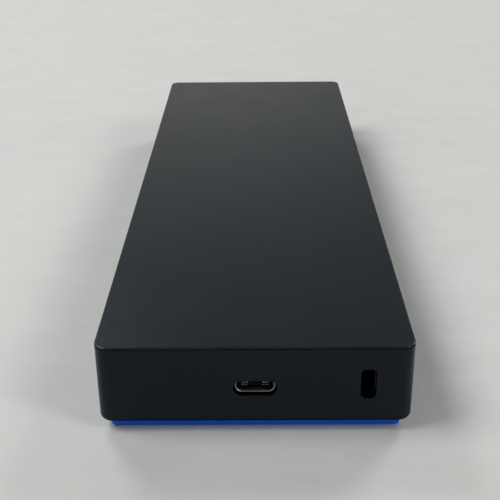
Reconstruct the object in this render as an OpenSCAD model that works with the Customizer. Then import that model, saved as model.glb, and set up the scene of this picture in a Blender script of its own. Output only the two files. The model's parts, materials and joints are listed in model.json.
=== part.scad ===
// Laptop docking station: a slim slab with a black case, a seamed lid and a blue non-slip base pad.
// The long axis lies along Y and +Z is up. The origin is on the table under the middle of the base.
// The near end faces -Y, the far end +Y, the rear ports face +X and the front ports face -X.

/* [Case] */
// Length of the case along Y
case_l = 214; // [208:1:220]
// Width of the case along X
case_w = 70; // [70:1:76]
// Height from the table to the top face
case_h = 21.9; // [21.5:0.1:23]
// Radius of the upright corners
corner_r = 3; // [2.5:0.5:4]
// Radius of the rounded bottom edge
bottom_r = 1.4; // [1:0.2:2]
// Thickness of the side walls
wall_t = 2; // [1.8:0.1:2.2]
// Chamfer around the mouth of each port
port_chamfer = 0.05; // [0.05:0.05:0.3]

/* [Lid] */
// Height of the lid's edge above the seam
lid_edge_t = 0.35; // [0.35:0.05:0.6]
// Height of the seam between lid and wall
seam_h = 0.25; // [0.15:0.05:0.35]
// Radius of the lid's top edge
lid_edge_r = 0.3; // [0.2:0.05:0.3]

/* [Base pad] */
// How far the pad stands below the case
pad_proud = 2.3; // [1.5:0.1:2.3]
// How far the pad's edge is set in from the case
pad_inset = 2.2; // [2.2:0.1:4]

/* [End ports] */
// Height of the middle of the USB-C ports
port_z = 11.55; // [11.05:0.05:11.8]
// How far the receptacles in the two ends sit behind the case's face
end_recess = 0.9; // [0.7:0.05:1.2]
// How far the rear receptacles sit behind the case's face
rear_recess = 0.5; // [0.3:0.1:1]
// How far the front receptacles sit behind the case's face
front_recess = 1.2; // [1:0.1:1.6]
// Middle of the lock slot, across the near end
lock_x = 24.9; // [24:0.1:25.5]
// Height of the middle of the lock slot
lock_z = 12.4; // [11.5:0.1:12.5]
// Width of the lock slot
lock_w = 3.5; // [3.2:0.1:3.8]
// Height of the lock slot
lock_h = 7.5; // [7:0.1:7.8]

/* [Power button] */
// Diameter of the button cap
button_d = 7; // [6:0.5:7]
// Travel of the button
button_travel = 0.4; // [0.2:0.05:0.5]

/* [Hidden] */
$fn = 48;

// Heights of the stack, from the table up
case_z = pad_proud;
pocket_d = 0.6;
floor_t = 1.6;
floor_z = case_z + pocket_d + floor_t;
board_t = 1.6;
board_z = 8;                      // top of the main board
end_board_t = 1;
usb_c_half_h = 1.6;
end_board_z = port_z - usb_c_half_h;
lid_edge_z = case_h - lid_edge_t;
wall_top_z = lid_edge_z - seam_h;
ledge_z = wall_top_z - 0.9;       // step inside the wall that the lid rests on
lip_t = wall_t / 2;               // thickness of the wall's upper lip

inner_w = case_w - 2 * wall_t;
inner_l = case_l - 2 * wall_t;
pad_w = case_w - 2 * pad_inset;
pad_l = case_l - 2 * pad_inset;
near_y = -case_l / 2;
far_y = case_l / 2;
main_board_l = 172;
main_board_w = 63;
end_board_w = 36;
end_board_l = 14.4;
end_board_gap = 0.4;              // between an end board and the case's wall
end_board_x = -2;                 // the end boards sit off the middle, clear of the lock bracket

// Places of the ports along the two long sides
power_jack_y = 78;
ethernet_y = 60;
usb_a_rear_y = [41.5, 24];
displayport_y = [4.5, -16.5];
vga_y = -47;
audio_y = 40;
usb_a_front_y = [16, -4];
led_y = -66;
button_y = -78;
side_port_z = 11.1;                // middle of the round openings in the front side
power_jack_z = 12;
vga_z = 12.4;

// Sizes of the receptacles
metal_t = 0.3;
usb_c = [8.94, 2 * usb_c_half_h];
usb_c_depth = 7.3;
usb_a = [13.1, 5.7];
usb_a_depth = 14;
usb_a_z = board_z + usb_a[1] / 2;
dp = [16.7, 5.5];
dp_depth = 15;
dp_z = board_z + dp[1] / 2;
dp_chamfer = 2;
jack_w = 16;                      // ethernet jack
jack_h = 11.6;
jack_depth = 21;
jack_z = board_z + jack_h / 2;
jack_mouth_w = 11.8;
jack_mouth_h = 6.8;
jack_mouth_z = 0.9;               // middle of the mouth above the middle of the jack
vga_flange = [30.8, 11.6];
vga_flange_t = 0.8;
vga_reach = 6;                    // how far the D-shell stands out of its flange
vga_screw_x = 12.5;
vga_screw_r = 1.15;
audio_r = 1.8;
audio_body = [6.4, 2 * (side_port_z - board_z)];
audio_depth = 15.5;
power_jack = [9.6, 2 * (power_jack_z - board_z)];
power_jack_r = 2.5;
power_jack_depth = 13;

// Fasteners
case_screw_r = 1.2;
case_head_r = 2.4;
case_head_h = 1.4;
case_screw_l = 7.4;
post_r = 3;
post_z = 6;                       // where the lid's posts meet the floor's bosses
head_pocket_z = post_z - 1.6;
board_screw_r = 1;
board_head_r = 1.9;
board_head_h = 1;
board_screw_l = 4;
boss_r = 2.6;
screw_gap = 0.05;
bracket_t = 1.2;
bracket_z = 6.4;
bracket_y = near_y + wall_t;
bracket_l = 11;
bracket_w = 14.4;

end_post_y = case_l / 2 - 8;
case_screw_xy = [[-28, -end_post_y], [29, -80], [-28, end_post_y], [28, end_post_y], [-29, -40],
    [-29, 62]];
main_screw_xy = [[-28, -22], [-28, 80], [9, -80], [9, 82]];
end_screw_x = [end_board_x - 14, end_board_x + 14];
end_screw_y = case_l / 2 - wall_t - 8;
bracket_screw_xy = [[lock_x - 4.8, bracket_y + 8], [lock_x + 4.8, bracket_y + 8]];

// Circuit parts on the main board
chip_h = 1.2;
pad_h = 0.8;
video_chip = [-3, -24, 13];       // x, y and side of each chip
hub_chip = [-3, 4, 10];
ethernet_chip = [-6, 36, 8];
power_chip = [-14, 66, 6];
inductor_xy = [[-4, 74], [-12, 78], [-20, 74]];
capacitor_xy = [[13, 75], [-20, -66], [-12, -66], [16, -68], [-2, 49]];

// Small helpers ------------------------------------------------------------------------------

function arc(middle, r, from, to, steps = 8) =
    [for (i = [0 : steps]) middle + r * [cos(from + (to - from) * i / steps),
        sin(from + (to - from) * i / steps)]];

module rounded_rect(w, h, r) {
    square([w - 2 * r, h], center = true);
    square([w, h - 2 * r], center = true);
    for (x = [-1, 1], y = [-1, 1])
        translate([x * (w / 2 - r), y * (h / 2 - r)]) circle(r);
}

module stadium(w, h) {
    square([w - h, h], center = true);
    for (x = [-1, 1]) translate([x * (w - h) / 2, 0]) circle(h / 2);
}

// Extrudes an X-Z outline along +Y, from y = 0
module along_y(depth) {
    translate([0, depth, 0]) rotate([90, 0, 0]) linear_extrude(depth) children();
}

module cylinder_y(r, depth) {
    translate([0, depth, 0]) rotate([90, 0, 0]) cylinder(r = r, h = depth);
}

module block(size, at) {
    translate([at[0], at[1], at[2] + size[2] / 2]) cube(size, center = true);
}

module at_near(x, z, recess) { translate([x, near_y + recess, z]) children(); }
module at_far(x, z, recess) { translate([x, far_y - recess, z]) rotate([0, 0, 180]) children(); }
module at_rear(y, z, recess) { translate([case_w / 2 - recess, y, z]) rotate([0, 0, 90]) children(); }
module at_front(y, z, recess) { translate([-case_w / 2 + recess, y, z]) rotate([0, 0, -90]) children(); }

// Cross-section of a slab's rim, with its bottom and top outer edges rounded
module rim_profile(reach, h, bottom, top) {
    difference() {
        square([reach, h]);
        if (bottom > 0) translate([reach - bottom, 0]) difference() {
            translate([0, -1]) square([bottom + 1, bottom + 1]);
            translate([0, bottom]) circle(bottom);
        }
        if (top > 0) translate([reach - top, h]) difference() {
            translate([0, -top]) square([top + 1, top + 1]);
            translate([0, -top]) circle(top);
        }
    }
}

// A slab whose rim follows the profile given as its child, built from corners, edges and a middle
module rimmed_slab(w, l, h, r) {
    translate([0, 0, h / 2]) cube([w - 2 * r, l - 2 * r, h], center = true);
    for (turn = [0 : 3]) {
        across = turn % 2 == 0 ? w : l;
        along = turn % 2 == 0 ? l : w;
        rotate([0, 0, 90 * turn]) {
            translate([across / 2 - r, 0, 0]) rotate([90, 0, 0])
                linear_extrude(along - 2 * r, center = true) children();
            translate([across / 2 - r, along / 2 - r, 0])
                rotate_extrude(angle = 90) children();
        }
    }
}

module filleted_slab(w, l, h, r, bottom = 0, top = 0) {
    rimmed_slab(w, l, h, r) rim_profile(r, h, bottom, top);
}

// Cutter that runs from y = -1 to y = deep and flares out where it crosses y = 0
module flared_cut(w, h, r, deep, flare) {
    wide = r + flare;
    translate([0, deep, 0]) rotate([90, 0, 0]) rimmed_slab(w, h, deep + 1, r)
        polygon([[0, 0], [r, 0], [r, deep - flare], [wide, deep], [wide, deep + 1], [0, deep + 1]]);
}

// Cutters for openings through a wall whose face is at y = 0, with the outer edge chamfered
module port_cut(w, h, r) { flared_cut(w, h, r, wall_t + 1, port_chamfer); }

module round_port_cut(r) {
    translate([0, -1, 0]) cylinder_y(r, wall_t + 2);
    translate([0, port_chamfer, 0]) rotate([90, 0, 0])
        cylinder(r1 = r, r2 = r + 2 * port_chamfer, h = 2 * port_chamfer);
}

// Pan-head screw pointing down, with its head's underside at z = 0
module screw(r, l, head_r, head_h) {
    difference() {
        union() {
            cylinder(r = head_r, h = head_h);
            translate([0, 0, -l]) cylinder(r = r, h = l);
        }
        for (turn = [0, 90]) rotate([0, 0, turn])
            translate([0, 0, head_h]) cube([head_r * 1.2, head_r * 0.24, head_h], center = true);
    }
}

// A boss with a pilot bore for a screw of radius r
module boss(outer_r, r, bottom, top) {
    translate([0, 0, bottom]) difference() {
        cylinder(r = outer_r, h = top - bottom);
        translate([0, 0, -1]) cylinder(r = r + screw_gap, h = top - bottom + 2);
    }
}

// Case -----------------------------------------------------------------------------------------

module top_cover() {
    step = lip_t + 0.05;          // the lid's body stops just inside the wall's lip
    color([0.09, 0.1, 0.11]) {
        translate([0, 0, lid_edge_z])
            filleted_slab(case_w, case_l, lid_edge_t, corner_r, top = lid_edge_r);
        translate([0, 0, ledge_z]) linear_extrude(lid_edge_z - ledge_z)
            rounded_rect(case_w - 2 * step, case_l - 2 * step, corner_r - step);
        for (p = case_screw_xy) translate([p[0], p[1], 0])
            boss(post_r, case_screw_r, post_z, ledge_z);
        // locating tabs that hang just inside the walls
        for (side = [-1, 1], y = [-84, 84])
            block([1, 9, 2.2], [side * (inner_w / 2 - 0.65), y, ledge_z - 2.2]);
        for (side = [-1, 1], x = [-10, 10])
            block([9, 1, 2.2], [x, side * (inner_l / 2 - 0.65), ledge_z - 2.2]);
    }
}

module lower_case() {
    color([0.09, 0.1, 0.11]) difference() {
        union() {
            difference() {
                translate([0, 0, case_z])
                    filleted_slab(case_w, case_l, wall_top_z - case_z, corner_r, bottom = bottom_r);
                translate([0, 0, floor_z]) linear_extrude(case_h)
                    rounded_rect(inner_w, inner_l, 1);
                translate([0, 0, ledge_z]) linear_extrude(case_h)
                    rounded_rect(case_w - 2 * lip_t, case_l - 2 * lip_t, corner_r - lip_t);
            }
            for (p = case_screw_xy) translate([p[0], p[1], floor_z - 0.5])
                cylinder(r = post_r + 0.6, h = post_z - floor_z + 0.5);
            for (p = main_screw_xy) translate([p[0], p[1], floor_z - 0.5])
                cylinder(r = boss_r, h = board_z - board_t - floor_z + 0.5);
            for (x = end_screw_x, y = [-end_screw_y, end_screw_y]) translate([x, y, floor_z - 0.5])
                cylinder(r = boss_r, h = end_board_z - end_board_t - floor_z + 0.5);
            for (p = bracket_screw_xy) translate([p[0], p[1], floor_z - 0.5])
                cylinder(r = boss_r, h = bracket_z - floor_z + 0.5);
        }
        translate([0, 0, case_z - 1]) linear_extrude(1 + pocket_d)
            rounded_rect(pad_w + 0.1, pad_l + 0.1, 1.5);
        for (p = case_screw_xy) translate([p[0], p[1], 0]) {
            cylinder(r = case_screw_r + 0.2, h = case_h);
            cylinder(r = case_head_r + 0.2, h = head_pocket_z);
        }
        pilot_bores(main_screw_xy);
        pilot_bores([for (x = end_screw_x, y = [-end_screw_y, end_screw_y]) [x, y]]);
        pilot_bores(bracket_screw_xy);
        wall_openings();
    }
}

module pilot_bores(places) {
    for (p = places) translate([p[0], p[1], floor_z - 0.6])
        cylinder(r = board_screw_r + screw_gap, h = case_h);
}

// USB-C cut-out: the room for a plug's collar reaches lower than it rises
module usb_c_cut() {
    translate([0, 0, -0.15]) port_cut(usb_c[0] + 0.72, usb_c[1] + 0.55, usb_c_half_h + 0.27);
}

// Every opening through the four walls
module wall_openings() {
    at_near(0, port_z, 0) usb_c_cut();
    at_far(0, port_z, 0) usb_c_cut();
    at_near(lock_x, lock_z, 0) port_cut(lock_w, lock_h, 1.1);
    for (y = usb_a_rear_y) at_rear(y, usb_a_z, 0) port_cut(usb_a[0] + 0.5, usb_a[1] + 0.5, 0.5);
    for (y = usb_a_front_y) at_front(y, usb_a_z, 0) port_cut(usb_a[0] + 0.5, usb_a[1] + 0.5, 0.5);
    for (y = displayport_y) at_rear(y, dp_z, -1) along_y(wall_t + 2) dp_outline(0.3);
    at_rear(vga_y, vga_z, 0) port_cut(vga_flange[0] + 0.8, 12, 1.5);
    at_rear(ethernet_y, jack_z, 0) port_cut(jack_w + 0.4, jack_h + 0.3, 0.5);
    at_rear(power_jack_y, power_jack_z, 0) round_port_cut(4.2);
    at_front(audio_y, side_port_z, 0) round_port_cut(3.25);
    at_front(led_y, side_port_z, -1) cylinder_y(1.05, wall_t + 2);
    at_front(button_y, side_port_z, 0) round_port_cut(button_d / 2 + 0.2);
}

module base_pad() {
    color([0.05, 0.2, 0.62]) difference() {
        filleted_slab(pad_w, pad_l, case_z + pocket_d, 1.5, bottom = 0.4);
        // shallow field inside the contact rim, so that the pad stands on its edge and its ribs
        translate([0, 0, -1]) linear_extrude(1.3) difference() {
            rounded_rect(pad_w - 12, pad_l - 12, 2);
            for (x = [-1 : 1]) translate([x * pad_w / 5, 0]) rounded_rect(4, pad_l - 24, 1.5);
        }
    }
}

module case_screws() {
    color("silver") for (p = case_screw_xy)
        translate([p[0], p[1], head_pocket_z]) rotate([180, 0, 0])
            screw(case_screw_r, case_screw_l, case_head_r, case_head_h);
}

module board_screws() {
    color("silver") {
        for (p = main_screw_xy) translate([p[0], p[1], board_z]) board_screw();
        for (x = end_screw_x, y = [-end_screw_y, end_screw_y])
            translate([x, y, end_board_z]) board_screw();
        for (p = bracket_screw_xy) translate([p[0], p[1], bracket_z + bracket_t]) board_screw();
    }
}

module board_screw() { screw(board_screw_r, board_screw_l - 0.4, board_head_r, board_head_h); }

// Steel angle behind the lock slot, screwed to two bosses on the floor
module lock_bracket() {
    top = ledge_z - 0.4;
    color([0.2, 0.2, 0.21]) translate([lock_x, bracket_y, 0]) difference() {
        union() {
            block([bracket_w, bracket_t, top - bracket_z], [0, bracket_t / 2, bracket_z]);
            block([bracket_w, bracket_l, bracket_t], [0, bracket_l / 2, bracket_z]);
        }
        translate([0, -1, lock_z]) along_y(4) rounded_rect(lock_w - 0.3, lock_h - 0.3, 1);
        for (x = [-4.8, 4.8]) translate([x, 8, 0]) cylinder(r = board_screw_r + 0.15, h = case_h);
    }
}

// Boards ---------------------------------------------------------------------------------------

module main_board() {
    color([0.05, 0.3, 0.16]) translate([0, 0, board_z - board_t]) linear_extrude(board_t) difference() {
        rounded_rect(main_board_w, main_board_l, 1);
        for (p = case_screw_xy) translate(p) circle(post_r + 0.4);
        for (p = main_screw_xy) translate(p) circle(board_screw_r + 0.15);
        // notch under the video connector's flange
        translate([main_board_w / 2, vga_y]) square([9.4, vga_flange[0] + 1.4], center = true);
    }
}

module insulation_sheet() {
    color([0.85, 0.85, 0.8]) translate([0, 0, floor_z]) linear_extrude(0.2) difference() {
        rounded_rect(inner_w - 3, main_board_l - 10, 1);
        for (p = case_screw_xy) translate(p) circle(post_r + 1);
        for (p = main_screw_xy) translate(p) circle(boss_r + 0.4);
    }
}

module end_board() {
    color([0.05, 0.3, 0.16]) translate([0, 0, end_board_z - end_board_t]) difference() {
        translate([end_board_x - end_board_w / 2, near_y + wall_t + end_board_gap, 0])
            cube([end_board_w, end_board_l, end_board_t]);
        for (x = end_screw_x) translate([x, -end_screw_y, -1])
            cylinder(r = board_screw_r + 0.15, h = end_board_t + 2);
    }
}

module data_end_board() { end_board(); }
module host_end_board() { mirror([0, 1, 0]) end_board(); }

// Flat cable in a low arch between the two boards' sockets; t runs from 0 to 1 along it
flex_w = 9;
flex_t = 0.3;
flex_from = [near_y + wall_t + end_board_gap + end_board_l - 1.6, end_board_z + 0.9];
flex_to = [-83.9, board_z + 0.9];
flex_rise = 1.6;
flex_steps = 12;
function flex_point(t) = flex_from + t * (flex_to - flex_from) + [0, flex_rise * sin(180 * t)];
flex_outline = concat(
    [for (i = [0 : flex_steps]) flex_point(i / flex_steps) + [0, flex_t]],
    [for (i = [flex_steps : -1 : 0]) flex_point(i / flex_steps)]);

module flex_cable() {
    color([0.8, 0.8, 0.75]) translate([end_board_x - flex_w / 2, 0, 0])
        rotate([90, 0, 90]) linear_extrude(flex_w) polygon(flex_outline);
}

module data_flex_cable() { flex_cable(); }
module host_flex_cable() { mirror([0, 1, 0]) flex_cable(); }

module flex_sockets() {
    color([0.85, 0.82, 0.72]) for (end = [0, 1]) mirror([0, end, 0]) {
        block([flex_w + 3, 2, 1.6], [end_board_x, flex_from[0] - 1, end_board_z]);
        block([flex_w + 3, 2, 1.6], [end_board_x, flex_to[0] + 1, board_z]);
    }
}

// USB-C receptacles ------------------------------------------------------------------------------

usb_c_base_y = 5.2;               // front of the plastic base inside the shell
usb_c_tip_y = 0.75;
usb_c_tongue = [6.7, 0.7];
usb_c_lead_in = 0.12;             // chamfers on the shell's rim
usb_c_tip_slope = [0.25, 0.2];    // chamfer on the tongue's tip, along and across it
contact_t = 0.08;

// Extrudes a Y-Z outline along X, centred on x = 0
module along_x(width) {
    translate([-width / 2, 0, 0]) rotate([90, 0, 90]) linear_extrude(width) children();
}

module usb_c_shell() {
    r = usb_c_half_h - 0.01;
    rim = r - usb_c_lead_in / 2;
    inner_r = r - metal_t;
    color([0.75, 0.75, 0.76]) {
        difference() {
            translate([0, usb_c_depth, 0]) rotate([90, 0, 0])
                rimmed_slab(usb_c[0], usb_c[1], usb_c_depth, r)
                    polygon([[0, 0], [r, 0], [r, usb_c_depth - usb_c_lead_in], [rim, usb_c_depth],
                        [0, usb_c_depth]]);
            flared_cut(usb_c[0] - 2 * metal_t, usb_c[1] - 2 * metal_t, inner_r, usb_c_depth + 1,
                usb_c_lead_in);
        }
        // mounting feet that sit on the board
        for (x = [-1, 1], y = [2.2, 6])
            block([1.5, 1, metal_t], [x * (usb_c[0] / 2 - 0.35), y, -usb_c_half_h]);
    }
}

module usb_c_tongue() {
    half = usb_c_tongue[1] / 2;
    slope = usb_c_tip_slope;
    back = usb_c_base_y + 0.2;
    color([0.08, 0.08, 0.08]) {
        translate([0, usb_c_base_y, 0]) along_y(usb_c_depth - usb_c_base_y)
            stadium(usb_c[0] - 2 * metal_t - 0.04, usb_c[1] - 2 * metal_t - 0.04);
        along_x(usb_c_tongue[0]) polygon([[usb_c_tip_y, half - slope[1]],
            [usb_c_tip_y + slope[0], half], [back, half], [back, -half],
            [usb_c_tip_y + slope[0], -half], [usb_c_tip_y, slope[1] - half]]);
    }
}

// Outline of a contact: a long one bends down over the tongue's sloping tip
module usb_c_contact(long) {
    half = usb_c_tongue[1] / 2;
    slope = usb_c_tip_slope;
    bend = usb_c_tip_y + slope[0];
    tip = usb_c_tip_y + 0.06;
    low = half - slope[1] + 0.06 * slope[1] / slope[0];
    start = usb_c_tip_y + 0.7;
    front = long ? [[bend - 0.03, half + contact_t], [tip - 0.05, low + 0.062], [tip, low], [bend, half]]
        : [[start, half + contact_t], [start, half]];
    polygon(concat([[usb_c_base_y, half], [usb_c_base_y, half + contact_t]], front));
}

// Twelve contacts on each face of the tongue; the first and last three reach the tip
module usb_c_contacts() {
    color([0.85, 0.7, 0.35]) for (face = [0, 1], i = [0 : 11]) mirror([0, 0, face])
        translate([(i - 5.5) * 0.5, 0, 0]) along_x(0.32) usb_c_contact(i < 3 || i > 8);
}

module usb_c_data_shell() { at_near(0, port_z, end_recess) usb_c_shell(); }
module usb_c_data_tongue() { at_near(0, port_z, end_recess) usb_c_tongue(); }
module usb_c_data_contacts() { at_near(0, port_z, end_recess) usb_c_contacts(); }
module usb_c_host_shell() { at_far(0, port_z, end_recess) usb_c_shell(); }
module usb_c_host_tongue() { at_far(0, port_z, end_recess) usb_c_tongue(); }
module usb_c_host_contacts() { at_far(0, port_z, end_recess) usb_c_contacts(); }

// USB-A receptacles ------------------------------------------------------------------------------

usb_a_tongue = [11.1, 1.84];
usb_a_tongue_z = 0.9;             // middle of the tongue above the middle of the port
usb_a_tip_y = 0.9;
usb_a_base_y = 12;

module usb_a_shell() {
    color([0.75, 0.75, 0.76]) {
        difference() {
            along_y(usb_a_depth) rounded_rect(usb_a[0], usb_a[1], 0.6);
            translate([0, -1, 0]) along_y(usb_a_depth + 2)
                rounded_rect(usb_a[0] - 2 * metal_t, usb_a[1] - 2 * metal_t, 0.3);
            // slots around the two springs in the roof
            for (x = [-1, 1], edge = [-1, 1])
                translate([x * 3.2 + edge * 1.2, 5, usb_a[1] / 2]) cube([0.3, 6, 2], center = true);
        }
        // springs that lean into the opening from the floor
        for (x = [-1, 1]) translate([x * 3.2 - 0.8, 5, -usb_a[1] / 2 + metal_t])
            rotate([90, 0, 90]) linear_extrude(1.6) polygon([[-2.5, -0.05], [0, 0.45], [2.5, -0.05]]);
    }
}

module usb_a_tongue() {
    color([0.06, 0.06, 0.06]) {
        translate([0, usb_a_base_y, 0]) along_y(usb_a_depth - usb_a_base_y)
            rounded_rect(usb_a[0] - 2 * metal_t - 0.04, usb_a[1] - 2 * metal_t - 0.04, 0.28);
        translate([0, (usb_a_tip_y + usb_a_base_y + 0.2) / 2, usb_a_tongue_z])
            cube([usb_a_tongue[0], usb_a_base_y + 0.2 - usb_a_tip_y, usb_a_tongue[1]], center = true);
    }
}

// Four long contacts and five short ones near the tip, on the tongue's lower face
module usb_a_contact_set() {
    z = usb_a_tongue_z - usb_a_tongue[1] / 2 - 0.15;
    for (x = [-3.5, -1, 1, 3.5]) block([1, 6.6, 0.15], [x, 8.4, z]);
    for (x = [-4, -2, 0, 2, 4]) block([0.8, 1.8, 0.15], [x, 3, z]);
}

module usb_a_contacts() {
    color([0.85, 0.7, 0.35]) {
        for (y = usb_a_rear_y) at_rear(y, usb_a_z, rear_recess) usb_a_contact_set();
        for (y = usb_a_front_y) at_front(y, usb_a_z, front_recess) usb_a_contact_set();
    }
}

module usb_a_rear(i) { at_rear(usb_a_rear_y[i], usb_a_z, rear_recess) children(); }
module usb_a_front(i) { at_front(usb_a_front_y[i], usb_a_z, front_recess) children(); }

// DisplayPort receptacles --------------------------------------------------------------------------

dp_tongue = [13, 1.6];
dp_tip_y = 1;
dp_base_y = 13;

// Rectangle with one lower corner cut off, grown outward by grow
module dp_outline(grow) {
    w = dp[0] / 2 + grow;
    h = dp[1] / 2 + grow;
    c = dp_chamfer + grow * 0.6;
    polygon([[-w, h], [w, h], [w, -h], [-w + c, -h], [-w, -h + c]]);
}

module dp_shell() {
    color([0.75, 0.75, 0.76]) difference() {
        along_y(dp_depth) dp_outline(0);
        translate([0, -1, 0]) along_y(dp_depth + 2) dp_outline(-metal_t);
        for (x = [-3.6, 3.6]) translate([x, 4, dp[1] / 2]) cube([2.2, 3, 2], center = true);
    }
}

module dp_tongue() {
    color([0.06, 0.06, 0.06]) {
        translate([0, dp_base_y, 0]) along_y(dp_depth - dp_base_y) dp_outline(-metal_t - 0.02);
        translate([0, (dp_tip_y + dp_base_y + 0.2) / 2, 0])
            cube([dp_tongue[0], dp_base_y + 0.2 - dp_tip_y, dp_tongue[1]], center = true);
    }
}

module displayport_contacts() {
    color([0.85, 0.7, 0.35]) for (y = displayport_y) at_rear(y, dp_z, rear_recess)
        for (face = [0, 1], i = [0 : 9]) mirror([0, 0, face])
            block([0.6, 8, 0.12], [(i - 4.5) * 1.1, 6.4, dp_tongue[1] / 2]);
}

module displayport(i) { at_rear(displayport_y[i], dp_z, rear_recess) children(); }

// VGA connector ------------------------------------------------------------------------------------

// The D outline, wider at the top, grown outward by grow; a is the lean of its sides
module d_outline(grow) {
    r = 2.4 + grow;
    a = atan2(0.6, 3.1);
    right = concat(arc([5.75, 1.55], r, 90, -a), arc([5.15, -1.55], r, -a, -90));
    polygon(concat(right, [for (i = [len(right) - 1 : -1 : 0]) [-right[i][0], right[i][1]]]));
}

module vga_shell() {
    color([0.75, 0.75, 0.76]) at_rear(vga_y, vga_z, rear_recess) {
        difference() {
            along_y(vga_reach) d_outline(0);
            translate([0, -1, 0]) along_y(vga_reach + 2) d_outline(-0.4);
        }
        translate([0, vga_reach - 0.05, 0]) difference() {
            along_y(vga_flange_t) rounded_rect(vga_flange[0], vga_flange[1], 1);
            translate([0, -1, 0]) along_y(3) d_outline(-0.4);
            for (x = [-1, 1]) translate([x * vga_screw_x, -1, 0]) cylinder_y(vga_screw_r + 0.35, 3);
        }
    }
}

module vga_insert() {
    back = vga_reach + vga_flange_t - 0.05;
    color([0.1, 0.2, 0.6]) at_rear(vga_y, vga_z, rear_recess) {
        difference() {
            translate([0, 0.4, 0]) along_y(back - 0.4 + 0.2) d_outline(-0.45);
            for (row = [-1, 0, 1], i = [0 : 4])
                translate([(i - 2) * 2.29 + (row == 0 ? 1.14 : 0), -1, row * 1.98]) cylinder_y(0.55, 5);
        }
        translate([0, back, 0]) along_y(10) difference() {
            rounded_rect(vga_flange[0], vga_flange[1] - 2, 0.5);
            translate([0, -vga_z + board_z - 10]) square([40, 20], center = true);
        }
    }
}

module vga_jackscrews() {
    color("silver") at_rear(vga_y, vga_z, rear_recess)
        for (x = [-1, 1]) translate([x * vga_screw_x, 0.6, 0]) difference() {
            union() {
                translate([0, vga_reach - 0.65, 0]) rotate([90, 0, 0])
                    cylinder(d = 5.5, h = vga_reach - 0.65, $fn = 6);
                translate([0, 1, 0]) cylinder_y(1.45, vga_reach - 0.65 + vga_flange_t - 1);
            }
            translate([0, -1, 0]) cylinder_y(vga_screw_r, vga_reach);
        }
}

// Ethernet jack ------------------------------------------------------------------------------------

// Plug opening: the wide part, then two narrower steps below it for the plug's latch
module jack_mouth() {
    translate([0, jack_mouth_z]) {
        square([jack_mouth_w, jack_mouth_h], center = true);
        translate([0, -jack_mouth_h / 2 - 0.6]) square([6.4, 1.6], center = true);
        translate([0, -jack_mouth_h / 2 - 1.5]) square([3.6, 1.6], center = true);
    }
}

module ethernet_shield() {
    color([0.75, 0.75, 0.76]) at_rear(ethernet_y, jack_z, rear_recess) difference() {
        along_y(jack_depth) rounded_rect(jack_w, jack_h, 0.4);
        translate([0, -1, 0]) along_y(jack_depth + 1 - metal_t)
            rounded_rect(jack_w - 2 * metal_t, jack_h - 2 * metal_t, 0.2);
    }
}

module ethernet_housing() {
    w = jack_w - 2 * metal_t - 0.04;
    h = jack_h - 2 * metal_t - 0.04;
    color([0.07, 0.07, 0.07]) at_rear(ethernet_y, jack_z, rear_recess) difference() {
        translate([0, 0.1, 0]) along_y(jack_depth - metal_t - 0.2) rounded_rect(w, h, 0.18);
        translate([0, -1, 0]) along_y(15) jack_mouth();
        // pockets for the two light lenses
        for (x = [-1, 1]) block([2.8, 3, 1.7], [x * 5.4, 0.5, -5.2]);
    }
}

// Eight spring wires that slope down from the roof of the mouth
module ethernet_contacts() {
    roof = jack_mouth_z + jack_mouth_h / 2;
    color([0.85, 0.7, 0.35]) at_rear(ethernet_y, jack_z, rear_recess)
        for (i = [0 : 7]) translate([(i - 3.5) * 1.02 - 0.2, 0, 0]) rotate([90, 0, 90])
            linear_extrude(0.4) polygon([[3, roof], [3.5, roof], [11.5, roof - 2.4], [11.2, roof - 2.7]]);
}

module ethernet_lenses() {
    color([0.7, 0.8, 0.5]) at_rear(ethernet_y, jack_z, rear_recess)
        for (x = [-1, 1]) block([2.7, 1.8, 1.6], [x * 5.4, 1, -5.15]);
}

// Audio and power jacks ------------------------------------------------------------------------------

module audio_jack_body() {
    color([0.06, 0.06, 0.06]) at_front(audio_y, side_port_z, front_recess) difference() {
        union() {
            translate([0, wall_t, 0]) along_y(audio_depth - wall_t) square(audio_body, center = true);
            cylinder_y(3, wall_t + 0.1);
        }
        translate([0, -1, 0]) cylinder_y(audio_r + 0.42, 1 + 2);
        translate([0, -1, 0]) cylinder_y(audio_r, audio_depth);
    }
}

module audio_jack_sleeve() {
    color([0.8, 0.8, 0.8]) at_front(audio_y, side_port_z, front_recess) difference() {
        cylinder_y(audio_r + 0.4, 2);
        translate([0, -1, 0]) cylinder_y(audio_r, 4);
    }
}

module power_jack_body() {
    color([0.06, 0.06, 0.06]) at_rear(power_jack_y, power_jack_z, rear_recess) difference() {
        union() {
            translate([0, wall_t, 0]) along_y(power_jack_depth - wall_t) square(power_jack, center = true);
            cylinder_y(3.9, wall_t + 0.1);
        }
        translate([0, -1, 0]) cylinder_y(power_jack_r, 1 + 9.5);
    }
}

module power_jack_pin() {
    color([0.8, 0.8, 0.8]) at_rear(power_jack_y, power_jack_z, rear_recess) difference() {
        translate([0, 0.8, 0]) cylinder_y(1.4, 9.5 - 0.8);
        translate([0, -1, 0]) cylinder_y(0.45, 8);
    }
}

// Parts on the main board ----------------------------------------------------------------------------

module chip(place) {
    color([0.12, 0.12, 0.12]) difference() {
        block([place[2], place[2], chip_h], [place[0], place[1], board_z]);
        translate([place[0] - place[2] / 2 + 1, place[1] + place[2] / 2 - 1, board_z + chip_h - 0.1])
            cylinder(r = 0.35, h = 1);
    }
}

module video_controller() { chip(video_chip); }
module usb_hub_controller() { chip(hub_chip); }
module ethernet_controller() { chip(ethernet_chip); }
module power_controller() { chip(power_chip); }

module thermal_pads() {
    color([0.5, 0.6, 0.75]) for (c = [video_chip, hub_chip, ethernet_chip])
        block([c[2] - 1, c[2] - 1, pad_h], [c[0], c[1], board_z + chip_h]);
}

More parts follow.
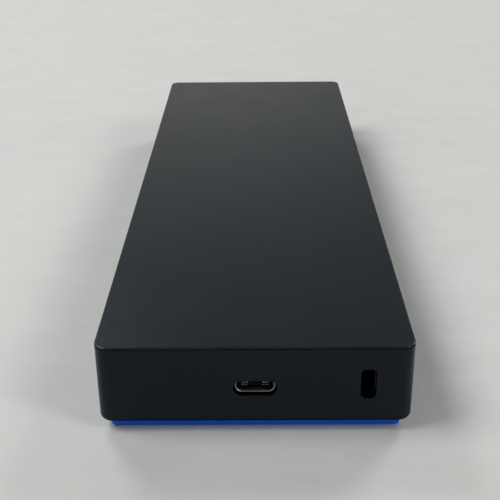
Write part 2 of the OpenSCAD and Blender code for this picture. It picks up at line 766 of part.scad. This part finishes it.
// Aluminium plate over the warm chips, on four bent legs
module heat_spreader() {
    w = 24;
    l = 80;
    z = board_z + chip_h + pad_h;
    color([0.8, 0.81, 0.82]) translate([-3, 4, 0]) {
        block([w, l, 1], [0, 0, z]);
        for (x = [-1, 1], y = [-1, 1]) {
            block([1, 6, z - board_z + 0.5], [x * (w / 2 - 0.5), y * (l / 2 - 5), board_z]);
            block([3, 6, 0.8], [x * (w / 2 + 0.5), y * (l / 2 - 5), board_z]);
        }
        for (y = [-30 : 10 : 30]) block([w - 6, 1, 1.4], [0, y, z + 0.9]);
    }
}

module power_inductors() {
    color([0.3, 0.3, 0.31]) for (p = inductor_xy) block([6.4, 6.4, 3], [p[0], p[1], board_z]);
}

module polymer_capacitors() {
    color([0.75, 0.76, 0.78]) for (p = capacitor_xy) translate([p[0], p[1], board_z]) {
        block([5.6, 5.6, 0.8], [0, 0, 0]);
        translate([0, 0, 0.7]) cylinder(r = 2.6, h = 5.1);
    }
}

module ethernet_transformer() {
    color([0.1, 0.1, 0.1]) block([7, 15, 4], [6, ethernet_y, board_z]);
}

// Power button and status light ------------------------------------------------------------------------

button_face = 0.15;               // the cap's face sits just inside the case's face
stem_r = 1.5;
stem_end = 5.55;                  // end of the cap's stem behind the case's face
plunger_front = 5.6;
switch_front = plunger_front + 0.4 + button_travel;
switch_l = 3.4;
plunger_r = 1.1;
guide_front = wall_t + 1.3 + button_travel;
guide_t = 1.2;

module power_button() {
    color([0.1, 0.11, 0.12]) at_front(button_y, side_port_z, 0) difference() {
        union() {
            translate([0, button_face + 0.3, 0]) cylinder_y(button_d / 2, 2.1);
            translate([0, button_face + 0.3, 0]) rotate([90, 0, 0])
                cylinder(r1 = button_d / 2, r2 = button_d / 2 - 0.3, h = 0.3);
            translate([0, wall_t + 0.1, 0]) cylinder_y(button_d / 2 + 1, 0.8);
            translate([0, wall_t + 0.5, 0]) cylinder_y(stem_r, stem_end - wall_t - 0.5);
        }
        // finger dish
        translate([0, button_face - 19.8, 0]) sphere(r = 20, $fn = 96);
    }
}

// Frame behind the wall whose bore guides the button's stem
module button_guide() {
    color([0.08, 0.08, 0.08]) at_front(button_y, 0, 0) {
        translate([0, guide_front, side_port_z]) difference() {
            along_y(guide_t) rounded_rect(13, 6.2, 0.8);
            translate([0, -1, 0]) cylinder_y(stem_r + 0.08, 4);
        }
        for (x = [-1, 1]) translate([x * 5.75 - 0.75, wall_t, side_port_z - 2.6])
            cube([1.5, guide_front - wall_t + 0.4, 5.2]);
    }
}

module button_switch() {
    color([0.15, 0.15, 0.16]) at_front(button_y, 0, 0) difference() {
        translate([-3, switch_front, board_z]) cube([6, switch_l, 5.6]);
        translate([0, switch_front - 1, side_port_z]) cylinder_y(plunger_r + 0.08, 1 + 1.8);
    }
}

module switch_plunger() {
    color([0.85, 0.8, 0.7]) at_front(button_y, side_port_z, 0)
        translate([0, plunger_front, 0]) cylinder_y(plunger_r, switch_front - plunger_front + 1.2);
}

// Clear rod from the wall, turned down at its inner end towards the light
module light_pipe() {
    color([0.9, 0.95, 1]) at_front(led_y, side_port_z, 0) difference() {
        union() {
            translate([0, 0.1, 0]) cylinder_y(1, 5);
            translate([-1, 4, -2]) cube([2, 2, 3]);
        }
        translate([-2, 4.6, 1.6]) rotate([-45, 0, 0]) cube([4, 4, 2]);
    }
}

module status_led() {
    color([0.95, 0.95, 0.9]) at_front(led_y, 0, 0) block([1.6, 1.6, 0.8], [0, 5, board_z]);
}

top_cover();
lower_case();
base_pad();
case_screws();
board_screws();
lock_bracket();
main_board();
insulation_sheet();
data_end_board();
host_end_board();
data_flex_cable();
host_flex_cable();
flex_sockets();
usb_c_data_shell();
usb_c_data_tongue();
usb_c_data_contacts();
usb_c_host_shell();
usb_c_host_tongue();
usb_c_host_contacts();
usb_a_rear(0) usb_a_shell();  // usb_a_rear_1_shell
usb_a_rear(1) usb_a_shell();  // usb_a_rear_2_shell
usb_a_front(0) usb_a_shell();  // usb_a_front_1_shell
usb_a_front(1) usb_a_shell();  // usb_a_front_2_shell
usb_a_rear(0) usb_a_tongue();  // usb_a_rear_1_tongue
usb_a_rear(1) usb_a_tongue();  // usb_a_rear_2_tongue
usb_a_front(0) usb_a_tongue();  // usb_a_front_1_tongue
usb_a_front(1) usb_a_tongue();  // usb_a_front_2_tongue
usb_a_contacts();
displayport(0) dp_shell();  // displayport_1_shell
displayport(1) dp_shell();  // displayport_2_shell
displayport(0) dp_tongue();  // displayport_1_tongue
displayport(1) dp_tongue();  // displayport_2_tongue
displayport_contacts();
vga_shell();
vga_insert();
vga_jackscrews();
ethernet_shield();
ethernet_housing();
ethernet_contacts();
ethernet_lenses();
audio_jack_body();
audio_jack_sleeve();
power_jack_body();
power_jack_pin();
heat_spreader();
thermal_pads();
video_controller();
usb_hub_controller();
ethernet_controller();
power_controller();
power_inductors();
polymer_capacitors();
ethernet_transformer();
light_pipe();
status_led();
button_guide();
button_switch();
power_button();
switch_plunger();
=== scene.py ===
"""Laptop docking station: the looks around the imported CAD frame. Metres, +Z up, near end at -Y."""
import json
import math

import bmesh
import bpy
from mathutils import Matrix, Vector


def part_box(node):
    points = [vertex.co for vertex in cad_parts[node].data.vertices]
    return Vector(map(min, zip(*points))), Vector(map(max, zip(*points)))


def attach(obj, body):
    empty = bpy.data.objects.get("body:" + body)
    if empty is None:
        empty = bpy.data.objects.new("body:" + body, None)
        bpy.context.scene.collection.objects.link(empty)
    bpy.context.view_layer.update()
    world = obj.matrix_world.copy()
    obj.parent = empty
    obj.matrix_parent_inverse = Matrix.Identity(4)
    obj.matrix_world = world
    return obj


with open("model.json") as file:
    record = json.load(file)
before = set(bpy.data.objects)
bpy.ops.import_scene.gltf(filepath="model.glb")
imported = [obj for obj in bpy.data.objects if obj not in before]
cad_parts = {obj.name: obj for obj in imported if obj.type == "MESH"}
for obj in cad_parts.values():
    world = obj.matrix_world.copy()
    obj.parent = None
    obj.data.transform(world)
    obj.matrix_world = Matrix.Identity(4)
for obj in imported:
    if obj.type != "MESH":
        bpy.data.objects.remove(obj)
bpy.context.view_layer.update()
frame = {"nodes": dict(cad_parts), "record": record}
nodes = frame["nodes"]
scene = bpy.context.scene

# Camera -----------------------------------------------------------------------------------------

CAMERA_AT = Vector((0.000685, -0.275689, 0.125798))
PITCH_DOWN, YAW, ROLL = math.radians(25.5586), math.radians(-0.5134), math.radians(-0.5305)
LENS_MM = 66.166


def make_camera():
    forward = Vector((math.sin(YAW) * math.cos(PITCH_DOWN), math.cos(YAW) * math.cos(PITCH_DOWN),
                      -math.sin(PITCH_DOWN)))
    level = Vector((math.cos(YAW), -math.sin(YAW), 0))
    upright = level.cross(forward)
    right = level * math.cos(ROLL) + upright * math.sin(ROLL)
    up = upright * math.cos(ROLL) - level * math.sin(ROLL)
    camera = bpy.data.objects.new("camera", bpy.data.cameras.new("camera"))
    camera.data.lens = LENS_MM
    camera.data.sensor_width = 36
    camera.data.clip_start = 0.01
    camera.data.clip_end = 20
    turn = Matrix((right, up, -forward)).transposed()
    camera.matrix_world = Matrix.Translation(CAMERA_AT) @ turn.to_4x4()
    scene.collection.objects.link(camera)
    scene.camera = camera


# Light ------------------------------------------------------------------------------------------

ROOM_LIGHT = 0.08
GLOW_BEHIND = {"azimuth": -3, "elevation": 8, "spread": 16, "radiance": 0.63}
GLOW_IN_FRONT = {"azimuth": -146, "elevation": 9, "spread": 20, "radiance": 1.35}
LIGHT_DISTANCE = 2.0


def toward(azimuth, elevation):
    """Unit vector; azimuth 0 is behind the object (+Y) and 90 is to its right (+X)."""
    a, e = math.radians(azimuth), math.radians(elevation)
    return Vector((math.cos(e) * math.sin(a), math.cos(e) * math.cos(a), math.sin(e)))


def softbox(name, azimuth, elevation, spread, radiance):
    """A round softbox of the given angular radius, aimed at the object."""
    radius = LIGHT_DISTANCE * math.tan(math.radians(spread))
    light = bpy.data.lights.new(name, "AREA")
    light.shape = "DISK"
    light.size = 2 * radius
    light.energy = radiance * (math.pi * radius) ** 2
    lamp = bpy.data.objects.new(name, light)
    away = toward(azimuth, elevation)
    lamp.location = LIGHT_DISTANCE * away
    lamp.rotation_mode = "QUATERNION"
    lamp.rotation_quaternion = away.to_track_quat("Z", "Y")
    scene.collection.objects.link(lamp)


def light_scene():
    """A high key light on the left, three smaller softboxes around, and two faint low glows."""
    softbox("key_left", -97, 54, 16, 5.6)
    softbox("back_left", -30, 40, 9, 8.3)
    softbox("back_right", 37, 34, 9, 8.8)
    softbox("front_right", 121, 34, 9, 7.5)
    world = bpy.data.worlds.new("room")
    world.use_nodes = True
    tree = world.node_tree

    def math_node(operation, source, value):
        node = tree.nodes.new("ShaderNodeMath")
        node.operation = operation
        tree.links.new(source, node.inputs[0])
        if value is not None:
            node.inputs[1].default_value = value
        return node.outputs[0]

    total = None
    direction = tree.nodes.new("ShaderNodeTexCoord").outputs["Generated"]
    for glow in (GLOW_BEHIND, GLOW_IN_FRONT):
        dot = tree.nodes.new("ShaderNodeVectorMath")
        dot.operation = "DOT_PRODUCT"
        tree.links.new(direction, dot.inputs[0])
        dot.inputs[1].default_value = toward(glow["azimuth"], glow["elevation"])
        off_axis = math_node("SUBTRACT", dot.outputs["Value"], 1.0)
        falloff = math_node("DIVIDE", off_axis, 1 - math.cos(math.radians(glow["spread"])))
        level = math_node("MULTIPLY", math_node("EXPONENT", falloff, None), glow["radiance"])
        level = math_node("ADD", level, ROOM_LIGHT / 2)
        if total:
            both = tree.nodes.new("ShaderNodeMath")
            tree.links.new(total, both.inputs[0])
            tree.links.new(level, both.inputs[1])
            level = both.outputs[0]
        total = level
    tree.links.new(total, tree.nodes["Background"].inputs["Strength"])
    tree.nodes["Background"].inputs["Color"].default_value = (1, 1, 1, 1)
    scene.world = world
    scene.view_settings.view_transform = "Standard"


# Materials --------------------------------------------------------------------------------------

class Finish:
    """One procedural material. Its methods add nodes and return the socket to join on."""

    def __init__(self, name, metallic=0.0, **uniform):
        self.material = bpy.data.materials.new(name)
        self.material.use_nodes = True
        self.tree = self.material.node_tree
        self.tree.nodes.clear()
        self.shader = self.add("ShaderNodeBsdfPrincipled")
        self.shader.inputs["Metallic"].default_value = metallic
        for socket, value in uniform.items():
            self.shader.inputs[socket.replace("_", " ")].default_value = value
        out = self.add("ShaderNodeOutputMaterial")
        self.join(self.shader.outputs["BSDF"], out.inputs["Surface"])
        self.place = self.add("ShaderNodeTexCoord").outputs["Object"]

    def add(self, kind, **settings):
        node = self.tree.nodes.new(kind)
        for key, value in settings.items():
            setattr(node, key, value)
        return node

    def join(self, source, target):
        self.tree.links.new(source, target)

    def stretched(self, x, y, z):
        node = self.add("ShaderNodeMapping")
        node.inputs["Scale"].default_value = (x, y, z)
        self.join(self.place, node.inputs["Vector"])
        return node.outputs["Vector"]

    def noise(self, scale, detail=2.0, roughness=0.5, where=None):
        node = self.add("ShaderNodeTexNoise")
        node.inputs["Scale"].default_value = scale
        node.inputs["Detail"].default_value = detail
        node.inputs["Roughness"].default_value = roughness
        self.join(where or self.place, node.inputs["Vector"])
        return node.outputs["Fac"]

    def cells(self, scale):
        node = self.add("ShaderNodeTexVoronoi")
        node.inputs["Scale"].default_value = scale
        self.join(self.place, node.inputs["Vector"])
        return node.outputs["Distance"]

    def between(self, source, low, high, to_low=0.0, to_high=1.0):
        """Maps low..high to to_low..to_high, clamped."""
        node = self.add("ShaderNodeMapRange")
        for key, value in zip(("From Min", "From Max", "To Min", "To Max"), (low, high, to_low, to_high)):
            node.inputs[key].default_value = value
        self.join(source, node.inputs["Value"])
        return node.outputs["Result"]

    def mix(self, amount, first, second):
        """Colour mix. first and second are colours or sockets."""
        node = self.add("ShaderNodeMix", data_type="RGBA")
        self.join(amount, node.inputs["Factor"])
        for given, socket in ((first, node.inputs[6]), (second, node.inputs[7])):
            if isinstance(given, tuple):
                socket.default_value = (*given, 1)
            else:
                self.join(given, socket)
        return node.outputs[2]

    def combine(self, first, second, how="ADD"):
        """Sum, or another operation, of two numbers or sockets."""
        node = self.add("ShaderNodeMath", operation=how)
        for given, socket in ((first, node.inputs[0]), (second, node.inputs[1])):
            if isinstance(given, float):
                socket.default_value = given
            else:
                self.join(given, socket)
        return node.outputs[0]

    def edges(self, radius):
        """1 along convex and concave edges within the radius, 0 on flat surface."""
        bevel = self.add("ShaderNodeBevel", samples=4)
        bevel.inputs["Radius"].default_value = radius
        true = self.add("ShaderNodeNewGeometry")
        dot = self.add("ShaderNodeVectorMath", operation="DOT_PRODUCT")
        self.join(bevel.outputs["Normal"], dot.inputs[0])
        self.join(true.outputs["True Normal"], dot.inputs[1])
        return self.between(dot.outputs["Value"], 0.995, 0.85)

    def lean(self):
        """1 where the surface faces up, 0 where it is upright, -1 where it faces down."""
        turn = self.add("ShaderNodeSeparateXYZ")
        self.join(self.add("ShaderNodeNewGeometry").outputs["Normal"], turn.inputs["Vector"])
        return turn.outputs["Z"]

    def rounded_rims(self):
        """1 where the surface turns from level to upright along a rounded upper edge."""
        lean = self.lean()
        return self.combine(self.between(lean, 0.05, 0.2), self.between(lean, 0.99, 0.95), "MULTIPLY")

    def recesses(self, reach, shut=0.5, clear=0.88):
        """1 on open surface, falling to 0 in openings and joints narrower than the reach."""
        shade = self.add("ShaderNodeAmbientOcclusion", samples=6)
        shade.inputs["Distance"].default_value = reach
        return self.between(shade.outputs["AO"], shut, clear)

    def bump(self, height, distance, strength=1.0):
        node = self.add("ShaderNodeBump")
        node.inputs["Strength"].default_value = strength
        node.inputs["Distance"].default_value = distance
        self.join(height, node.inputs["Height"])
        return node.outputs["Normal"]

    def wear(self, colour=None, roughness=None, normal=None):
        for socket, source in (("Base Color", colour), ("Roughness", roughness), ("Normal", normal)):
            if source:
                self.join(source, self.shader.inputs[socket])
        return self.material


def moulded(name, dark, pale, rough, grain=5200, depth=1.2e-5, worn=None, **uniform):
    """Moulded plastic or rubber: blotches of tone, spark-eroded grain and rubbed edges."""
    f = Finish(name, **uniform)
    blotches = f.noise(38, 4, 0.6)
    fine = f.noise(grain, 2, 0.6)
    tone = f.combine(f.between(blotches, 0.3, 0.7, 0, 0.65), f.between(fine, 0.3, 0.7, 0, 0.35))
    colour = f.mix(tone, dark, pale)
    if worn:
        rub = f.combine(f.edges(2.5e-4), f.between(f.noise(700, 3, 0.7), 0.4, 0.65), "MULTIPLY")
        colour = f.mix(f.combine(rub, 0.5, "MULTIPLY"), colour, worn)
    roughness = f.combine(f.between(f.noise(85, 5, 0.65), 0.3, 0.7, rough - 0.05, rough + 0.05),
                          f.between(fine, 0.3, 0.7, -0.02, 0.03))
    return f.wear(colour, roughness, f.bump(fine, depth))


def case_plastic(name, tint, gloss, rim_gloss):
    """Charcoal satin plastic: fine grain, faint handling smudges, a little dust, polished rims, and painted
    shade: near black in recesses, joints and on faces turned down.
    """
    f = Finish(name, Specular_Tint=(0.93, 0.985, 1.0, 1))
    blotches = f.noise(30, 4, 0.6)
    fine = f.noise(6200, 2, 0.65)
    tone = f.combine(f.between(blotches, 0.3, 0.7, 0, 0.6), f.between(fine, 0.3, 0.7, 0, 0.4))
    dark = tuple(0.88 * part for part in tint)
    pale = tuple(1.12 * part for part in tint)
    colour = f.mix(tone, dark, pale)
    rub = f.combine(f.edges(2.2e-4), f.between(f.noise(600, 3, 0.7), 0.42, 0.68), "MULTIPLY")
    colour = f.mix(f.combine(rub, 0.3, "MULTIPLY"), colour, (0.07, 0.075, 0.08))
    specks = f.combine(f.between(f.cells(420), 0.1, 0.05), f.between(f.noise(55, 3), 0.52, 0.6),
                       "MULTIPLY")
    colour = f.mix(f.combine(specks, 0.05, "MULTIPLY"), colour, (0.32, 0.32, 0.31))
    rim = f.rounded_rims()
    # painted shade: the colour goes to near black and the specular fades in recesses, joints and on faces
    # turned down
    clear_of_painted_shade = f.combine(f.recesses(0.004), f.between(f.lean(), -0.55, -0.12), "MULTIPLY")
    colour = f.mix(clear_of_painted_shade, (0.002, 0.002, 0.002), colour)
    shine = f.combine(f.between(rim, 0.0, 1.0, gloss, rim_gloss), clear_of_painted_shade, "MULTIPLY")
    f.join(shine, f.shader.inputs["Specular IOR Level"])
    smudges = f.between(f.noise(48, 5, 0.62), 0.42, 0.62, 0.0, 0.03)
    roughness = f.combine(f.combine(smudges, 0.28), f.between(fine, 0.3, 0.7, -0.02, 0.03))
    roughness = f.combine(roughness, f.between(rim, 0.0, 1.0, 0.0, 0.12), "SUBTRACT")
    return f.wear(colour, roughness, f.bump(fine, 1.1e-5))


def brushed(name, dark, pale, rough, along=(1, 1, 1), painted_shade_inside=False, **uniform):
    """Metal with fine rolling or turning marks along the axis that has the smallest number."""
    f = Finish(name, metallic=1.0, **uniform)
    lines = f.noise(1500, 4, 0.7, where=f.stretched(*along))
    stain = f.noise(260, 3, 0.6)
    tone = f.combine(f.between(lines, 0.3, 0.7, 0, 0.6), f.between(stain, 0.3, 0.7, 0, 0.4))
    colour = f.mix(tone, dark, pale)
    # painted shade: the metal turns near black in recesses, where little light reaches
    if painted_shade_inside:
        colour = f.mix(f.recesses(0.0025, 0.22, 0.38), (0.015, 0.015, 0.015), colour)
    roughness = f.combine(f.between(lines, 0.3, 0.7, rough - 0.07, rough + 0.07),
                          f.between(stain, 0.35, 0.7, 0, 0.06))
    return f.wear(colour, roughness, f.bump(lines, 4e-6))


def circuit_board():
    """Solder mask over faint copper tracks."""
    f = Finish("circuit_board", Coat_Weight=0.3, Coat_Roughness=0.15)
    tracks = f.add("ShaderNodeTexBrick")
    tracks.inputs["Scale"].default_value = 160
    tracks.inputs["Mortar Size"].default_value = 0.06
    tracks.inputs["Color1"].default_value = (0.012, 0.12, 0.05, 1)
    tracks.inputs["Color2"].default_value = (0.014, 0.14, 0.06, 1)
    tracks.inputs["Mortar"].default_value = (0.03, 0.23, 0.1, 1)
    f.join(f.place, tracks.inputs["Vector"])
    roughness = f.between(f.noise(120, 3), 0.3, 0.7, 0.25, 0.4)
    return f.wear(tracks.outputs["Color"], roughness, f.bump(tracks.outputs["Fac"], 1.5e-5))


def clear_plastic():
    f = Finish("clear_plastic", Transmission_Weight=0.55, IOR=1.5)
    haze = f.noise(900, 3, 0.6)
    colour = f.mix(f.between(haze, 0.3, 0.7), (0.72, 0.78, 0.82), (0.9, 0.92, 0.93))
    return f.wear(colour, f.between(haze, 0.3, 0.7, 0.12, 0.26), f.bump(haze, 3e-6))


def make_finishes():
    """One finish for each material slot of the record."""
    return {
        "case_plastic": case_plastic("case_plastic", (0.0085, 0.0135, 0.0175), 0.2, 0.5),
        "base_rubber": moulded("base_rubber", (0.008, 0.115, 0.74), (0.014, 0.15, 0.9), 0.6,
                               grain=3800, depth=2e-5, worn=(0.05, 0.2, 0.9),
                               Specular_IOR_Level=0.2),
        "button_plastic": moulded("button_plastic", (0.011, 0.0125, 0.014), (0.015, 0.017, 0.019), 0.36,
                                  grain=7000, depth=7e-6, worn=(0.06, 0.065, 0.07)),
        "screw_steel": brushed("screw_steel", (0.42, 0.42, 0.43), (0.6, 0.6, 0.61), 0.3),
        "bracket_steel": brushed("bracket_steel", (0.04, 0.04, 0.043), (0.08, 0.08, 0.085), 0.5),
        "socket_metal": brushed("socket_metal", (0.3, 0.295, 0.29), (0.44, 0.435, 0.425), 0.4,
                                painted_shade_inside=True),
        "bright_contact": brushed("bright_contact", (0.88, 0.9, 0.92), (0.96, 0.98, 1.0), 0.42),
        "contact_metal": brushed("contact_metal", (0.72, 0.47, 0.16), (0.9, 0.66, 0.28), 0.24),
        "socket_plastic": moulded("socket_plastic", (0.002, 0.002, 0.0022), (0.004, 0.004, 0.0043), 0.58,
                                  grain=4200, depth=8e-6, Specular_IOR_Level=0.12),
        "video_blue_plastic": moulded("video_blue_plastic", (0.01, 0.04, 0.24), (0.015, 0.06, 0.32), 0.48,
                                      grain=4200, depth=8e-6),
        "clear_plastic": clear_plastic(),
        "ivory_plastic": moulded("ivory_plastic", (0.55, 0.5, 0.38), (0.68, 0.63, 0.5), 0.45),
        "circuit_board": circuit_board(),
        "insulation_film": moulded("insulation_film", (0.5, 0.5, 0.46), (0.62, 0.62, 0.58), 0.35),
        "flex_film": moulded("flex_film", (0.45, 0.42, 0.34), (0.6, 0.57, 0.48), 0.38),
        "spreader_aluminium": brushed("spreader_aluminium", (0.6, 0.61, 0.62), (0.75, 0.76, 0.77), 0.35,
                                      along=(1, 0.05, 1)),
        "capacitor_aluminium": brushed("capacitor_aluminium", (0.5, 0.5, 0.52), (0.65, 0.65, 0.67), 0.32),
        "thermal_rubber": moulded("thermal_rubber", (0.28, 0.36, 0.45), (0.36, 0.45, 0.55), 0.8),
        "chip_plastic": moulded("chip_plastic", (0.014, 0.014, 0.015), (0.022, 0.022, 0.023), 0.6),
        "ferrite": moulded("ferrite", (0.05, 0.05, 0.053), (0.08, 0.08, 0.083), 0.65),
    }


def dress_frame(finishes):
    for part in frame["record"]["subparts"]:
        mesh = nodes[part["node"]].data
        mesh.materials.clear()
        mesh.materials.append(finishes[part["material_slot"]])
    # the tub gets a duller copy of the lid's plastic whose darker colour is painted shade on the upright
    # walls
    nodes["lower_case"].data.materials[0] = case_plastic("wall_plastic_painted_shade", (0.0065, 0.0105, 0.0165), 0.15, 0.15)


# Pieces -----------------------------------------------------------------------------------------

MM = 0.001


def add_piece(name, shape, body, slot, finishes):
    """Turn a bmesh drawn in millimetres into a piece that rides on a body."""
    bmesh.ops.scale(shape, vec=(MM, MM, MM), verts=shape.verts)
    bmesh.ops.recalc_face_normals(shape, faces=shape.faces)
    mesh = bpy.data.meshes.new(name)
    shape.to_mesh(mesh)
    shape.free()
    mesh.materials.append(finishes[slot])
    piece = bpy.data.objects.new(name, mesh)
    scene.collection.objects.link(piece)
    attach(piece, body)


def skin_rings(shape, rings):
    """Join rings of equal length into a tube, capped at both ends."""
    rings = [[shape.verts.new(point) for point in ring] for ring in rings]
    count = len(rings[0])
    for first, second in zip(rings, rings[1:]):
        for i in range(count):
            j = (i + 1) % count
            shape.faces.new((first[i], first[j], second[j], second[i]))
    shape.faces.new(rings[0])
    shape.faces.new(rings[-1][::-1])


def power_mark(finishes):
    """A broken ring and a bar, printed in the button's finger dish."""
    low, high = (Vector(corner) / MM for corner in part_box("power_button"))
    across, up = (low.y + high.y) / 2, (low.z + high.z) / 2
    ink, sunk, dish_depth, dish_curve = 0.03, 0.02, 0.2, 40.0

    def on_dish(v, w, lift):
        return (low.x + dish_depth - (v * v + w * w) / dish_curve - lift, across + v, up + w)

    def band(points):
        """points: pairs of (v, w) for the two edges of the band."""
        return [[on_dish(*a, ink), on_dish(*b, ink), on_dish(*b, -sunk), on_dish(*a, -sunk)]
                for a, b in points]

    shape = bmesh.new()
    inner, outer, gap, steps = 1.15, 1.5, 36, 44
    turns = [math.radians(90 + gap + (360 - 2 * gap) * i / steps) for i in range(steps + 1)]
    skin_rings(shape, band([((inner * math.cos(t), inner * math.sin(t)),
                             (outer * math.cos(t), outer * math.sin(t))) for t in turns]))
    half_bar = (outer - inner) / 2
    skin_rings(shape, band([((-half_bar, w), (half_bar, w)) for w in (0.35, 0.8, 1.25, 1.7)]))
    add_piece("power_mark", shape, "power_button", "ivory_plastic", finishes)


def pad_studs(finishes):
    """Low domes in the shallow fields under the base pad."""
    low, high = (Vector(corner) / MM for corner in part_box("base_pad"))
    rib_pitch = (high.x - low.x) / 5
    field_depth, radius, height = 0.3, 1.3, 0.22
    shape = bmesh.new()
    for x in (0.3, 0.68, 1.35, 1.72):
        for side in (-1, 1):
            rows = int((high.y - low.y - 26) / 5)
            for row in range(rows + 1):
                middle = (side * x * rib_pitch, (row - rows / 2) * 5)
                rings = []
                for level in (0.0, 0.35, 0.7, 0.95):
                    reach = radius * math.cos(level * math.pi / 2)
                    z = field_depth + 0.02 - (height + 0.02) * math.sin(level * math.pi / 2)
                    rings.append([(middle[0] + reach * math.cos(math.tau * i / 12),
                                   middle[1] + reach * math.sin(math.tau * i / 12), z)
                                  for i in range(12)])
                skin_rings(shape, rings)
    add_piece("pad_studs", shape, "dock", "base_rubber", finishes)


# Floor ------------------------------------------------------------------------------------------

def make_floor():
    mesh = bpy.data.meshes.new("floor")
    shape = bmesh.new()
    bmesh.ops.create_grid(shape, x_segments=8, y_segments=8, size=3.0)
    shape.to_mesh(mesh)
    shape.free()
    floor = bpy.data.objects.new("floor", mesh)
    floor.location.z = -0.00002
    scene.collection.objects.link(floor)
    f = Finish("table_top", Specular_IOR_Level=0.25)
    streaks = f.noise(95, 5, 0.62, where=f.stretched(0.55, 1.0, 1.0))
    cloud = f.noise(14, 3, 0.5)
    tone = f.combine(f.between(streaks, 0.32, 0.68, 0, 0.7), f.between(cloud, 0.35, 0.65, 0, 0.3))
    colour = f.mix(tone, (0.728, 0.743, 0.716), (0.786, 0.801, 0.773))
    mesh.materials.append(f.wear(colour, f.between(streaks, 0.3, 0.7, 0.5, 0.6), f.bump(streaks, 4e-5, 0.3)))


make_camera()
light_scene()
all_finishes = make_finishes()
dress_frame(all_finishes)
power_mark(all_finishes)
pad_studs(all_finishes)
make_floor()
